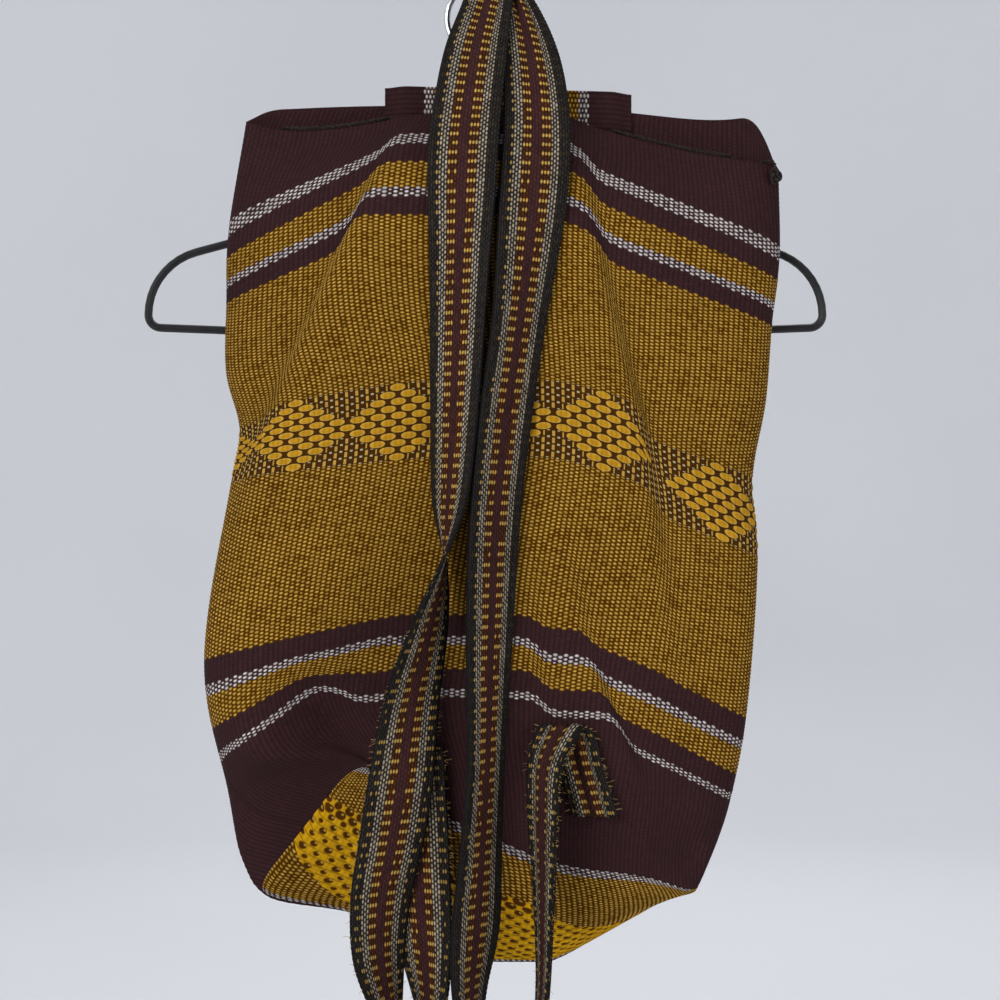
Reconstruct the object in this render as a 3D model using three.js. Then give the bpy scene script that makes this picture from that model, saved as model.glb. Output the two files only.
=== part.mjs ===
// A woven drawstring backpack, empty, hung by its two shoulder straps over the hook of a thin coat hanger.
// Millimetres. The origin is the top of the hook's inside, where a rail would bear. +Z is up, +X is to the
// right and the side with the straps faces -Y.
import * as THREE from 'three';

// Hanger
const HANGER_WIDTH = 420;
const HANGER_ROD = 5;
const HANGER_SLOPE = 15;
const HANGER_SHOULDER = 40;
const HANGER_CORNER = 8;
const HANGER_BAR_Z = -212;
const HANGER_BAR_BOW = 5;
const HOOK_WIRE = 3.6;
const HOOK_RADIUS = 23.5;
const HOOK_TIP_ANGLE = 222;
const HOOK_FOOT_ANGLE = -70;
const NECK_RISE = 60;
const NECK_LEAN = 2;
const NECK_BEND = 3;
const NECK_GAP = 0.6;
const ROD_SIDES = 8;
const ARC_STEPS = 9;
const ARM_STEPS = 4;
const BAR_STEPS = 10;
const HOOK_STEPS = 48;

// Cloth
const CLOTH = 2;
const WALL_DOWN = 474;
const SIDE_ROUNDING = 10;
const PLEAT_SOFTNESS = 7;
const SURFACE_STEP = 0.002;
const SEAM_GAP = 0.004;
const HEM_GAP = 2.6;
const BASE_CORNER = 0.14;
const BASE_SAG = 20;
const BASE_INSET_ACROSS = 0.016;
const BASE_INSET_DEEP = 0.032;

// Straps and the tab that they are sewn behind
const STRAP = 2;
const TAB_WIDTH = 150;
const TAB_HEIGHT = 24;
const TAB_MIDDLE_X = 14;
const TAB_TOP_Z = -69;
const TAB_TILT = -4;
const TAB_STAND_OFF = 7.4;
const TAB_END = 14;
const TAB_GAP = 0.4;

// Drawstring
const CORD_SIDES = 5;
const CORD_STEPS = 76;

// Each row is one level of the cloth tube, from the rim down to the base's edge. Left and right are the side
// seams. Near is the strap side at its middle and far is the hidden side at its middle. Flat is the share of
// the half width that hangs level, and power bends the fall from there to the seam.
const LEVEL_COLUMNS = ['down', 'leftX', 'leftZ', 'rightX', 'rightZ', 'seamY', 'nearZ', 'nearY',
  'farZ', 'farY', 'leftFlat', 'rightFlat', 'nearPower', 'farFlat', 'farPower'];
const LEVELS = [
  [0, -144, -85, 177, -117, -18, -84, -27, -77, -9, 0.15, 0.15, 1.00, 0.86, 2.50],
  [41, -154, -154, 177, -169, -22, -104, -47, -124, -9, 0.40, 0.15, 1.00, 0.80, 2.00],
  [87, -155, -199, 172, -212, -24, -149, -58, -172, -9, 0.50, 0.15, 1.00, 0.50, 1.25],
  [140, -155, -241, 168, -259, -25, -201, -60, -226, -9, 0.45, 0.15, 1.10, 0.20, 1.25],
  [190, -147, -275, 160, -305, -26, -249, -59, -278, -8, 0.30, 0.20, 1.20, 0.20, 1.25],
  [237, -152, -308, 163, -352, -27, -293, -57, -328, -5, 0.20, 0.20, 1.25, 0.20, 1.25],
  [333, -168, -414, 156, -448, -28, -385, -56, -434, 3, 0.25, 0.38, 1.20, 0.20, 1.25],
  [382, -159, -475, 147, -495, -29, -432, -58, -492, 5, 0.52, 0.50, 1.20, 0.20, 1.25],
  [430, -137, -507, 138, -521, -30, -475, -58, -549, 3, 0.30, 0.25, 1.25, 0.20, 1.25],
  [474, -106, -524, 125, -541, -31, -522, -59, -600, -6, 0.00, 0.00, 1.25, 0.25, 1.25],
];

// Each row is a place on a fold of the near side: how far down and across it is, how far the cloth outside it
// jumps down there, and how far that cloth lies back. Between the two pleats the cloth stands proud.
const FOLD_COLUMNS = ['down', 'x', 'jump', 'back'];
const LEFT_PLEAT = [
  [0, -55, 2, 0],
  [41, -57, 5, 5],
  [87, -80, 15, 9],
  [140, -106, 14, 9],
  [190, -127, 8, 8],
  [237, -143, 2, 5],
  [333, -150, 0, 2],
  [474, -150, 0, 0],
];
const RIGHT_PLEAT = [
  [0, 58, 2, 0],
  [41, 61, 9, 5],
  [87, 67, 13, 9],
  [140, 79, 16, 9],
  [190, 92, 20, 8],
  [237, 100, 15, 5],
  [333, 110, 2, 2],
  [474, 110, 0, 0],
];
const LOWER_TUCK = [
  [0, 45, 0, 0],
  [237, 45, 0, 0],
  [333, 60, 8, 3],
  [352, 66, 11, 4],
  [382, 80, 15, 4],
  [430, 98, 3, 1],
  [474, 110, 0, 0],
];
const INNER_TUCK = [
  [0, 31, 0, 0],
  [237, 31, 0, 0],
  [333, 31, 8, 0],
  [352, 31, 11, 0],
  [382, 34, 11, 0],
  [430, 36, 3, 0],
  [474, 40, 0, 0],
];
const SIDE_CREASE = [
  [0, -130, 0, 0],
  [237, -130, 0, 0],
  [345, -136, 0, -2],
  [365, -130, 0, -6],
  [405, -105, 0, -6],
  [440, -85, 0, 0],
  [474, -80, 0, 0],
];

// Each row pulls the cloth about one place. Around runs from 0 at the left seam over the near side to 1 at
// the right seam and over the far side back to 2. The reaches fade the pull out. The last three are its size.
const PULL_COLUMNS = ['around', 'down', 'reachAround', 'reachDown', 'x', 'y', 'z'];
const PULLS = [
  [0.15, 474, 0.16, 76, 20, 2, 46],
  [0.36, 474, 0.15, 64, 0, 0, 18],
  [1.86, 474, 0.12, 55, -30, -4, -22],
  [1.93, 432, 0.09, 40, -7, 0, -12],
  [1.885, 474, 0.07, 20, -7, 0, 0],
  [0.87, 474, 0.10, 40, 5, -2, -8],
  [0.25, 412, 0.09, 34, 4, 15, 0],
  [0.14, 405, 0.06, 40, 0, -8, -3],
  [0.84, 446, 0.07, 26, 0, 9, 0],
  [0.68, 400, 0.10, 50, 0, -7, 0],
  [0.30, 300, 0.14, 60, 0, -5, 0],
  [0.62, 285, 0.09, 80, 0, -6, 0],
  [0.08, 215, 0.07, 30, 0, 7, 0],
  [1.22, 0, 0.16, 60, 0, 0, -9],
  [1.90, 0, 0.16, 60, 0, 0, -3],
  [0.21, 0, 0.15, 22, 0, 0, -11],
  [0.70, 0, 0.15, 24, 0, 0, -4],
  [0.276, 384, 0.05, 26, 0, 0, 5],
  [0.35, 384, 0.05, 26, 0, 0, -7],
  [0.60, 474, 0.14, 40, 0, 0, -6],
];

// Each row is a place on a strap's middle line, with the strap's width there and the turn of its width away
// from facing straight ahead. Both straps start behind the tab, go over the hook and end on the near side.
const STRAP_COLUMNS = ['x', 'y', 'z', 'width', 'turn'];
const STRAP_LEFT = [
  [-9, -13.6, -88, 26, 0],
  [-9, -12.6, -72, 26, 0],
  [-4, -10.5, -56, 24, 0],
  [0, -5.6, -40, 22, 0],
  [1, 1, -26, 22, 0],
  [2, 7, -12, 22, 0],
  [3, 8.5, 0, 22, 0],
  [3, 6, 8, 22, 0],
  [3, 0, 11, 23, 0],
  [3, -6, 8, 24, 0],
  [3, -10, 0, 26, 0],
  [2, -16, -12, 29, 0],
  [-5, -38, -47, 37, 0],
  [-10, -54, -84, 40, 0],
  [-12.5, -66, -115, 41, -6],
  [-14, -74, -170, 41, -30],
  [-17, -79, -259, 40, -45],
  [-20, -82, -318, 40, -60],
  [-23, -84, -352, 40, -90],
  [-31, -84, -388, 40, -118],
  [-42, -82, -435, 40, -140],
  [-48, -82, -480, 41, -152],
  [-53, -83, -513, 41, -152],
  [-59, -84, -546, 41, -143],
  [-60, -85, -580, 40, -131],
  [-55, -86, -608, 40, -109],
  [-51, -87, -630, 40, -92],
  [-43, -87, -643, 40, -90],
  [-34, -86, -630, 40, -88],
  [-32, -83, -606, 40, -62],
  [-34, -77, -580, 40, -42],
  [-37.5, -69, -545, 39, -22],
  [-40.5, -66.5, -500, 38, -6],
  [-43, -65.5, -462, 38, -2],
];
const STRAP_RIGHT = [
  [20, -13.6, -90, 24, 0],
  [20, -13.8, -75, 24, 0],
  [14, -17.5, -57, 22, 0],
  [7, -10, -38, 20, 0],
  [6, -3, -22, 20, 0],
  [6, 3.2, -10, 20, 0],
  [6, 4.6, -1, 20, 0],
  [6, 3.4, 5, 20, 0],
  [6, 0, 6.8, 20, 0],
  [8, -3.6, 5, 20, 0],
  [12, -6, -3, 20, 0],
  [19, -11, -14, 21, 0],
  [27, -33, -50, 33, 0],
  [30.5, -49, -86, 38, 0],
  [30, -61, -120, 40, 4],
  [25.5, -73, -170, 41, 28],
  [20, -78, -215, 41, 42],
  [11, -78.5, -280, 41, 44],
  [6, -80, -330, 41, 46],
  [3, -81, -400, 41, 52],
  [1, -81, -470, 41, 60],
  [-2, -82, -520, 41, 56],
  [-5, -83, -565, 41, 50],
  [-8, -84, -605, 41, 66],
  [-4, -84, -640, 41, 86],
  [12, -84, -661, 40, 90],
  [28, -84, -640, 39, 94],
  [33, -84, -605, 38, 97],
  [34, -85, -545, 36, 106],
  [33.5, -85, -500, 34, 117],
  [35, -81, -470, 30, 128],
  [41, -76.5, -455, 27, 150],
  [46, -72, -449, 26, 172],
  [51, -68, -455, 26, 172],
  [55, -68, -470, 26, 166],
  [64, -67, -502, 27, 166],
];

// Each row is a place on the drawstring along the near rim. Inward and lift are measured from the rim's edge.
// The cord lies on the edge at the left and right, dips inside between and ends in a knot at the right seam.
const DRAWSTRING_COLUMNS = ['around', 'inward', 'lift', 'thick'];
const DRAWSTRING = [
  [0.150, 3.4, -7, 2.4],
  [0.168, 3.4, 2.2, 2.4],
  [0.187, 0, 1.9, 2.4],
  [0.250, 0, 1.8, 2.4],
  [0.329, 0, 1.9, 2.4],
  [0.347, 3.4, 2.2, 2.4],
  [0.366, 3.4, -6, 2.4],
  [0.490, 3.4, -6, 2.4],
  [0.604, 3.4, -6, 2.4],
  [0.623, 3.4, 2.2, 2.4],
  [0.640, 0, 1.9, 2.4],
  [0.715, 0, 1.8, 2.4],
  [0.787, 0, 1.9, 2.4],
  [0.806, 3.4, 2.2, 2.4],
  [0.826, 3.4, -6, 2.4],
  [0.870, 3.4, -6, 2.4],
  [0.892, 3.4, 2.4, 2.4],
  [0.918, 0, 2.8, 2.4],
  [0.935, -4, 2.4, 2.4],
  [0.945, -7, -1, 5],
  [0.948, -8.2, -6, 8],
  [0.948, -8.2, -11, 7],
];

// Colours, as the photograph's light shows them
const MAROON = 0x4a2228;
const MUSTARD = 0x9a6c1c;
const BAND = 0x5a3a26;
const DARK_CORD = 0x26211f;
const BLACK_COAT = 0x1c1c1e;
const STEEL = 0xb9bcc0;

// Rows become named values
function named(columns, row) {
  return Object.fromEntries(columns.map((name, i) => [name, row[i]]));
}

const levels = LEVELS.map((row) => named(LEVEL_COLUMNS, row));
const pulls = PULLS.map((row) => named(PULL_COLUMNS, row));
const leftFolds = [LEFT_PLEAT, SIDE_CREASE].map((rows) => [-1, rows]);
const rightFolds = [RIGHT_PLEAT, LOWER_TUCK, INNER_TUCK].map((rows) => [1, rows]);
const folds = [...leftFolds, ...rightFolds].map(([side, rows]) => (
  { side, rows: rows.map((row) => named(FOLD_COLUMNS, row)) }
));

// A smooth value between the rows of a table, with the slope at each row taken from its neighbours
function between(rows, key, value, along) {
  const last = rows.length - 1;
  let i = 0;
  while (i < last - 1 && along > rows[i + 1][key]) i += 1;
  const slope = (k) => {
    const before = rows[Math.max(k - 1, 0)];
    const after = rows[Math.min(k + 1, last)];
    return (after[value] - before[value]) / (after[key] - before[key]);
  };
  const span = rows[i + 1][key] - rows[i][key];
  const t = (along - rows[i][key]) / span;
  const t2 = t * t;
  const t3 = t2 * t;
  return (2 * t3 - 3 * t2 + 1) * rows[i][value] + (t3 - 2 * t2 + t) * span * slope(i)
    + (3 * t2 - 2 * t3) * rows[i + 1][value] + (t3 - t2) * span * slope(i + 1);
}

// How far a level has fallen from its middle, 0 there and 1 at the side seam
function fall(out, flat, power) {
  return Math.max(0, (out - flat) / (1 - flat)) ** power;
}

// 0 before a fold and 1 past it
function past(distance) {
  return 0.5 + 0.5 * Math.tanh(distance / PLEAT_SOFTNESS);
}

// A point of the cloth tube's middle surface
function tubePoint(aroundAny, down) {
  const around = ((aroundAny % 2) + 2) % 2;
  const level = Object.fromEntries(LEVEL_COLUMNS.map((name) => [name, between(levels, 'down', name, down)]));
  const swing = -Math.cos(Math.PI * around);
  const out = Math.abs(swing);
  const round = Math.sqrt(Math.max(0, 1 - out ** SIDE_ROUNDING));
  const x = (level.leftX + level.rightX) / 2 + swing * (level.rightX - level.leftX) / 2;
  const seamZ = swing < 0 ? level.leftZ : level.rightZ;
  const point = new THREE.Vector3(x, 0, 0);
  if (around <= 1) {
    const flat = swing < 0 ? level.leftFlat : level.rightFlat;
    let drop = level.nearZ - seamZ;
    let { nearY } = level;
    for (const { side, rows } of folds) {
      const share = past(side * (x - between(rows, 'down', 'x', down)));
      nearY += share * between(rows, 'down', 'back', down);
      if (side * swing >= 0) {
        const jump = between(rows, 'down', 'jump', down);
        drop -= jump;
        point.z -= jump * share;
      }
    }
    point.z += level.nearZ - drop * fall(out, flat, level.nearPower);
    point.y = level.seamY + (nearY - level.seamY) * round;
  } else {
    point.z = level.farZ - (level.farZ - seamZ) * fall(out, level.farFlat, level.farPower);
    point.y = level.seamY + (level.farY - level.seamY) * round;
  }
  for (const pull of pulls) {
    const away = ((around - pull.around + 3) % 2) - 1;
    const share = Math.exp(-((away / pull.reachAround) ** 2) - ((down - pull.down) / pull.reachDown) ** 2);
    point.add(new THREE.Vector3(pull.x, pull.y, pull.z).multiplyScalar(share));
  }
  return point;
}

// The base hangs between the four edges of the tube's lower end
function basePoint(across, deep) {
  const nearEdge = (q) => tubePoint(BASE_CORNER + q * (1 - 2 * BASE_CORNER), WALL_DOWN);
  const farEdge = (q) => tubePoint(2 - BASE_CORNER - q * (1 - 2 * BASE_CORNER), WALL_DOWN);
  const leftEnd = (w) => tubePoint(BASE_CORNER - 2 * BASE_CORNER * w, WALL_DOWN);
  const rightEnd = (w) => tubePoint(1 - BASE_CORNER + 2 * BASE_CORNER * w, WALL_DOWN);
  const point = new THREE.Vector3();
  point.addScaledVector(nearEdge(across), 1 - deep).addScaledVector(farEdge(across), deep);
  point.addScaledVector(leftEnd(deep), 1 - across).addScaledVector(rightEnd(deep), across);
  point.addScaledVector(nearEdge(0), -(1 - across) * (1 - deep));
  point.addScaledVector(nearEdge(1), -across * (1 - deep));
  point.addScaledVector(farEdge(0), -(1 - across) * deep);
  point.addScaledVector(farEdge(1), -across * deep);
  point.z -= BASE_SAG * Math.sin(Math.PI * deep) * Math.sin(Math.PI * across) ** 0.5;
  return point;
}

// A thin closed wall about a surface. Seen from outside, the surface's first value runs right, its second up.
function wall(surface, thickness, cellsRight, cellsUp) {
  const geometry = new THREE.BoxGeometry(1, 1, 1, cellsRight, cellsUp, 1);
  const position = geometry.attributes.position;
  const step = SURFACE_STEP;
  for (let i = 0; i < position.count; i += 1) {
    const right = position.getX(i) + 0.5;
    const up = position.getY(i) + 0.5;
    const alongRight = surface(Math.min(right + step, 1), up).sub(surface(Math.max(right - step, 0), up));
    const alongUp = surface(right, Math.min(up + step, 1)).sub(surface(right, Math.max(up - step, 0)));
    const outward = alongRight.cross(alongUp).normalize();
    const point = surface(right, up).addScaledVector(outward, position.getZ(i) * thickness);
    position.setXYZ(i, point.x, point.y, point.z);
  }
  geometry.computeVertexNormals();
  return geometry;
}

// A flat strap along its table of places
function strap(rows, thickness, stepsBetween) {
  const places = rows.map((row) => named(STRAP_COLUMNS, row));
  const curve = new THREE.CatmullRomCurve3(places.map((p) => new THREE.Vector3(p.x, p.y, p.z)));
  const last = places.length - 1;
  const ahead = places.map((place, i) => ({ ...place, at: i }));
  return wall((right, up) => {
    const at = up * last;
    const width = between(ahead, 'at', 'width', at);
    const turn = THREE.MathUtils.degToRad(between(ahead, 'at', 'turn', at));
    const sideways = new THREE.Vector3(Math.cos(turn), Math.sin(turn), 0);
    return curve.getPoint(up).addScaledVector(sideways, (right - 0.5) * width);
  }, thickness, 2, last * stepsBetween);
}

// A round rod with a ring about each point of a line, and a diameter for each. The line never runs along Y.
function rod(points, diameters, sides) {
  const last = points.length - 1;
  const geometry = new THREE.CylinderGeometry(1, 1, 1, sides, last);
  const position = geometry.attributes.position;
  for (let i = 0; i < position.count; i += 1) {
    const at = Math.round((position.getY(i) + 0.5) * last);
    const ahead = points[Math.min(at + 1, last)].clone().sub(points[Math.max(at - 1, 0)]).normalize();
    const side = new THREE.Vector3().crossVectors(new THREE.Vector3(0, 1, 0), ahead).normalize();
    const other = new THREE.Vector3().crossVectors(ahead, side);
    const radius = diameters[at] / 2;
    const point = points[at].clone();
    point.addScaledVector(side, position.getX(i) * radius).addScaledVector(other, -position.getZ(i) * radius);
    position.setXYZ(i, point.x, point.y, point.z);
  }
  geometry.computeVertexNormals();
  return geometry;
}

// The drawstring is a round cord whose thickness follows its table, so that it swells into the knot
function drawstring() {
  const places = DRAWSTRING.map((row, at) => ({ ...named(DRAWSTRING_COLUMNS, row), at }));
  const corners = places.map((p) => tubePoint(p.around, 0).add(new THREE.Vector3(0, p.inward, p.lift)));
  const points = new THREE.CatmullRomCurve3(corners, false, 'centripetal').getPoints(CORD_STEPS);
  const last = places.length - 1;
  const diameters = points.map((_, i) => between(places, 'at', 'thick', last * i / CORD_STEPS));
  return rod(points, diameters, CORD_SIDES);
}

// Points of an arc in the hanger's plane, with angles measured from +X towards +Z
function arc(centreX, centreZ, radius, fromAngle, toAngle, count) {
  return Array.from({ length: count + 1 }, (_, i) => {
    const angle = THREE.MathUtils.degToRad(fromAngle + (toAngle - fromAngle) * i / count);
    return new THREE.Vector3(centreX + radius * Math.cos(angle), 0, centreZ + radius * Math.sin(angle));
  });
}

// The neck is where the two straight arms meet, worked out from the shoulders' arcs
const shoulderX = HANGER_ROD / 2 + HANGER_SHOULDER - HANGER_WIDTH / 2;
const cornerZ = HANGER_BAR_Z + HANGER_CORNER;
const armEndX = HANGER_ROD / 2 + NECK_GAP;
const [armFoot] = arc(shoulderX, cornerZ, HANGER_SHOULDER, 90 + HANGER_SLOPE, 180, ARC_STEPS);
const neckZ = armFoot.z - (armFoot.x + armEndX) * Math.tan(THREE.MathUtils.degToRad(HANGER_SLOPE));

// The hanger's frame is one bent rod whose two ends meet at the neck
function hangerFrame() {
  const left = [
    ...arc(shoulderX, cornerZ, HANGER_SHOULDER, 90 + HANGER_SLOPE, 180, ARC_STEPS),
    ...arc(shoulderX + HANGER_CORNER - HANGER_SHOULDER, cornerZ, HANGER_CORNER, 180, 270, ARC_STEPS).slice(1),
  ];
  const arm = Array.from({ length: ARM_STEPS }, (_, i) => (
    new THREE.Vector3(-armEndX, 0, neckZ).lerp(armFoot, i / ARM_STEPS)
  ));
  const half = [...arm, ...left];
  const barX = half.at(-1).x;
  const bar = Array.from({ length: BAR_STEPS - 1 }, (_, i) => {
    const share = (i + 1) / BAR_STEPS;
    const bow = HANGER_BAR_BOW * Math.sin(Math.PI * share);
    return new THREE.Vector3(barX * (1 - 2 * share), 0, HANGER_BAR_Z - bow);
  });
  const mirrored = half.map((point) => new THREE.Vector3(-point.x, 0, point.z)).reverse();
  const points = [...half, ...bar, ...mirrored];
  return rod(points, points.map(() => HANGER_ROD), ROD_SIDES);
}

// The hook rises from the neck, turns over the rail and comes round to its tip on the left
function hangerHook() {
  const centreZ = HOOK_WIRE / 2 - HOOK_RADIUS;
  const round = arc(0, centreZ, HOOK_RADIUS, HOOK_FOOT_ANGLE, HOOK_TIP_ANGLE, HOOK_STEPS / 2);
  const stem = [
    new THREE.Vector3(0, 0, neckZ - HANGER_ROD / 2),
    new THREE.Vector3(0, 0, neckZ + NECK_RISE),
    new THREE.Vector3(NECK_LEAN, 0, centreZ - HOOK_RADIUS - NECK_BEND),
  ];
  const path = new THREE.CatmullRomCurve3([...stem, ...round], false, 'centripetal');
  const points = path.getSpacedPoints(HOOK_STEPS);
  return rod(points, points.map(() => HOOK_WIRE), ROD_SIDES);
}

// The tab lies in front of the far rim's middle and turns back to it at both ends
function tabPoint(right, up) {
  const x = TAB_MIDDLE_X + (right - 0.5) * TAB_WIDTH;
  const fromEnd = Math.min(right, 1 - right) * TAB_WIDTH;
  const standOff = TAB_STAND_OFF * THREE.MathUtils.smoothstep(fromEnd, 0, TAB_END);
  const z = TAB_TOP_Z + TAB_TILT * (right - 0.5) - (1 - up) * TAB_HEIGHT;
  return new THREE.Vector3(x, levels[0].farY - CLOTH - TAB_GAP - standOff, z);
}

// One named mesh for each piece
const group = new THREE.Group();
group.name = 'woven_drawstring_backpack';

function piece(name, geometry, color, roughness, metalness) {
  const mesh = new THREE.Mesh(geometry, new THREE.MeshStandardMaterial({ color, roughness, metalness }));
  mesh.name = name;
  group.add(mesh);
}

const wallDown = (up) => (1 - up) * (WALL_DOWN - HEM_GAP);
const aroundShare = (right) => SEAM_GAP + right * (1 - 2 * SEAM_GAP);
const nearWall = (right, up) => tubePoint(aroundShare(right), wallDown(up));
const farWall = (right, up) => tubePoint(1 + aroundShare(right), wallDown(up));
const base = (right, up) => basePoint(
  BASE_INSET_ACROSS + right * (1 - 2 * BASE_INSET_ACROSS),
  BASE_INSET_DEEP + (1 - up) * (1 - 2 * BASE_INSET_DEEP),
);
piece('back_panel', wall(nearWall, CLOTH, 38, 28), MUSTARD, 0.9, 0);
piece('front_panel', wall(farWall, CLOTH, 20, 16), MUSTARD, 0.9, 0);
piece('base_panel', wall(base, CLOTH, 18, 9), MUSTARD, 0.9, 0);
piece('strap_tab', wall(tabPoint, CLOTH, 24, 2), MAROON, 0.9, 0);
piece('strap_left', strap(STRAP_LEFT, STRAP, 3), BAND, 0.9, 0);
piece('strap_right', strap(STRAP_RIGHT, STRAP, 3), BAND, 0.9, 0);
piece('drawstring', drawstring(), DARK_CORD, 0.9, 0);
piece('hanger_frame', hangerFrame(), BLACK_COAT, 0.45, 0);
piece('hanger_hook', hangerHook(), STEEL, 0.3, 1);

export default group;
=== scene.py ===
"""Looks for a woven drawstring backpack that hangs by its straps on a wire coat hanger.

The cloth is a mesh with one vertex for each crossing of the weave. Its two texture values count warp ends and
picks, so that one description of the weave gives the mesh its relief and the material its yarns.
"""
import math

import bpy
import numpy as np
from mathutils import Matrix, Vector


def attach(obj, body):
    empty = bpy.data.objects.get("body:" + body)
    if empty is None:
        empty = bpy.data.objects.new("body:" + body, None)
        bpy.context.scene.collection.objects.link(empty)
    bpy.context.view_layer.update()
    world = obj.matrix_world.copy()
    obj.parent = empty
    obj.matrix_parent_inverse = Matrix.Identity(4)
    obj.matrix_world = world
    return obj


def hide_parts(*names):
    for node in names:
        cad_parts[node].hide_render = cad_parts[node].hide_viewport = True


MM = 0.001

# The cloth tube, in millimetres, as in the part's source
LEVEL_COLUMNS = ["down", "leftX", "leftZ", "rightX", "rightZ", "seamY", "nearZ", "nearY",
                 "farZ", "farY", "leftFlat", "rightFlat", "nearPower", "farFlat", "farPower"]
LEVELS = np.array([
    [0, -144, -85, 177, -117, -18, -84, -27, -77, -9, 0.15, 0.15, 1.00, 0.86, 2.50],
    [41, -154, -154, 177, -169, -22, -104, -47, -124, -9, 0.40, 0.15, 1.00, 0.80, 2.00],
    [87, -155, -199, 172, -212, -24, -149, -58, -172, -9, 0.50, 0.15, 1.00, 0.50, 1.25],
    [140, -155, -241, 168, -259, -25, -201, -60, -226, -9, 0.45, 0.15, 1.10, 0.20, 1.25],
    [190, -147, -275, 160, -305, -26, -249, -59, -278, -8, 0.30, 0.20, 1.20, 0.20, 1.25],
    [237, -152, -308, 163, -352, -27, -293, -57, -328, -5, 0.20, 0.20, 1.25, 0.20, 1.25],
    [333, -168, -414, 156, -448, -28, -385, -56, -434, 3, 0.25, 0.38, 1.20, 0.20, 1.25],
    [382, -159, -475, 147, -495, -29, -432, -58, -492, 5, 0.52, 0.50, 1.20, 0.20, 1.25],
    [430, -137, -507, 138, -521, -30, -475, -58, -549, 3, 0.30, 0.25, 1.25, 0.20, 1.25],
    [474, -106, -524, 125, -541, -31, -522, -59, -600, -6, 0.00, 0.00, 1.25, 0.25, 1.25],
], float)

# Folds of the near side: the side of the middle that each is on, and its places as down, x, jump, back
FOLDS = {
    "left_pleat": (-1, [
        [0, -55, 2, 0], [41, -57, 5, 5], [87, -80, 15, 9], [140, -106, 14, 9],
        [190, -127, 8, 8], [237, -143, 2, 5], [333, -150, 0, 2], [474, -150, 0, 0],
    ]),
    "right_pleat": (1, [
        [0, 58, 2, 0], [41, 61, 9, 5], [87, 67, 13, 9], [140, 79, 16, 9],
        [190, 92, 20, 8], [237, 100, 15, 5], [333, 110, 2, 2], [474, 110, 0, 0],
    ]),
    "lower_tuck": (1, [
        [0, 45, 0, 0], [237, 45, 0, 0], [333, 60, 8, 3], [352, 66, 11, 4],
        [382, 80, 15, 4], [430, 98, 3, 1], [474, 110, 0, 0],
    ]),
    "inner_tuck": (1, [
        [0, 31, 0, 0], [237, 31, 0, 0], [333, 31, 8, 0], [352, 31, 11, 0],
        [382, 34, 11, 0], [430, 36, 3, 0], [474, 40, 0, 0],
    ]),
    "side_crease": (-1, [
        [0, -130, 0, 0], [237, -130, 0, 0], [345, -136, 0, -2], [365, -130, 0, -6],
        [405, -105, 0, -6], [440, -85, 0, 0], [474, -80, 0, 0],
    ]),
}

# Local pulls on the cloth: around, down, reach around, reach down, x, y, z
PULLS = [
    [0.15, 474, 0.16, 76, 20, 2, 46],
    [0.36, 474, 0.15, 64, 0, 0, 18],
    [1.86, 474, 0.12, 55, -30, -4, -22],
    [1.93, 432, 0.09, 40, -7, 0, -12],
    [1.885, 474, 0.07, 20, -7, 0, 0],
    [0.87, 474, 0.10, 40, 5, -2, -8],
    [0.25, 412, 0.09, 34, 4, 15, 0],
    [0.14, 405, 0.06, 40, 0, -8, -3],
    [0.84, 446, 0.07, 26, 0, 9, 0],
    [0.68, 400, 0.10, 50, 0, -7, 0],
    [0.30, 300, 0.14, 60, 0, -5, 0],
    [0.62, 285, 0.09, 80, 0, -6, 0],
    [0.08, 215, 0.07, 30, 0, 7, 0],
    [1.22, 0, 0.16, 60, 0, 0, -9],
    [1.90, 0, 0.16, 60, 0, 0, -3],
    [0.21, 0, 0.15, 22, 0, 0, -11],
    [0.70, 0, 0.15, 24, 0, 0, -4],
    [0.276, 384, 0.05, 26, 0, 0, 5],
    [0.35, 384, 0.05, 26, 0, 0, -7],
    [0.60, 474, 0.14, 40, 0, 0, -6],
]
WALL_DOWN = 474
CLOTH = 2
SIDE_ROUNDING = 10
PLEAT_SOFTNESS = 5.5
BASE_CORNER = 0.14
BASE_SAG = 20

# The straps' places: x, y, z, width, turn in degrees
STRAP_LEFT = np.array([
    [-9, -13.6, -88, 26, 0], [-9, -12.6, -72, 26, 0], [-4, -10.5, -56, 24, 0], [0, -5.6, -40, 22, 0],
    [1, 1, -26, 22, 0], [2, 7, -12, 22, 0], [3, 8.5, 0, 22, 0], [3, 6, 8, 22, 0], [3, 0, 11, 23, 0],
    [3, -6, 8, 24, 0], [3, -10, 0, 26, 0], [2, -16, -12, 29, 0], [-5, -38, -47, 37, 0],
    [-10, -54, -84, 40, 0], [-12.5, -66, -115, 41, -6], [-14, -74, -170, 41, -30],
    [-17, -79, -259, 40, -45], [-20, -82, -318, 40, -60], [-23, -84, -352, 40, -90],
    [-31, -84, -388, 40, -118], [-42, -82, -435, 40, -140], [-48, -82, -480, 41, -152],
    [-53, -83, -513, 41, -152], [-59, -84, -546, 41, -143], [-60, -85, -580, 40, -131],
    [-55, -86, -608, 40, -109], [-51, -87, -630, 40, -92], [-43, -87, -643, 40, -90],
    [-34, -86, -630, 40, -88], [-32, -83, -606, 40, -62], [-34, -77, -580, 40, -42],
    [-37.5, -69, -545, 39, -22], [-40.5, -66.5, -500, 38, -6], [-43, -65.5, -462, 38, -2],
], float)
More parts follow.
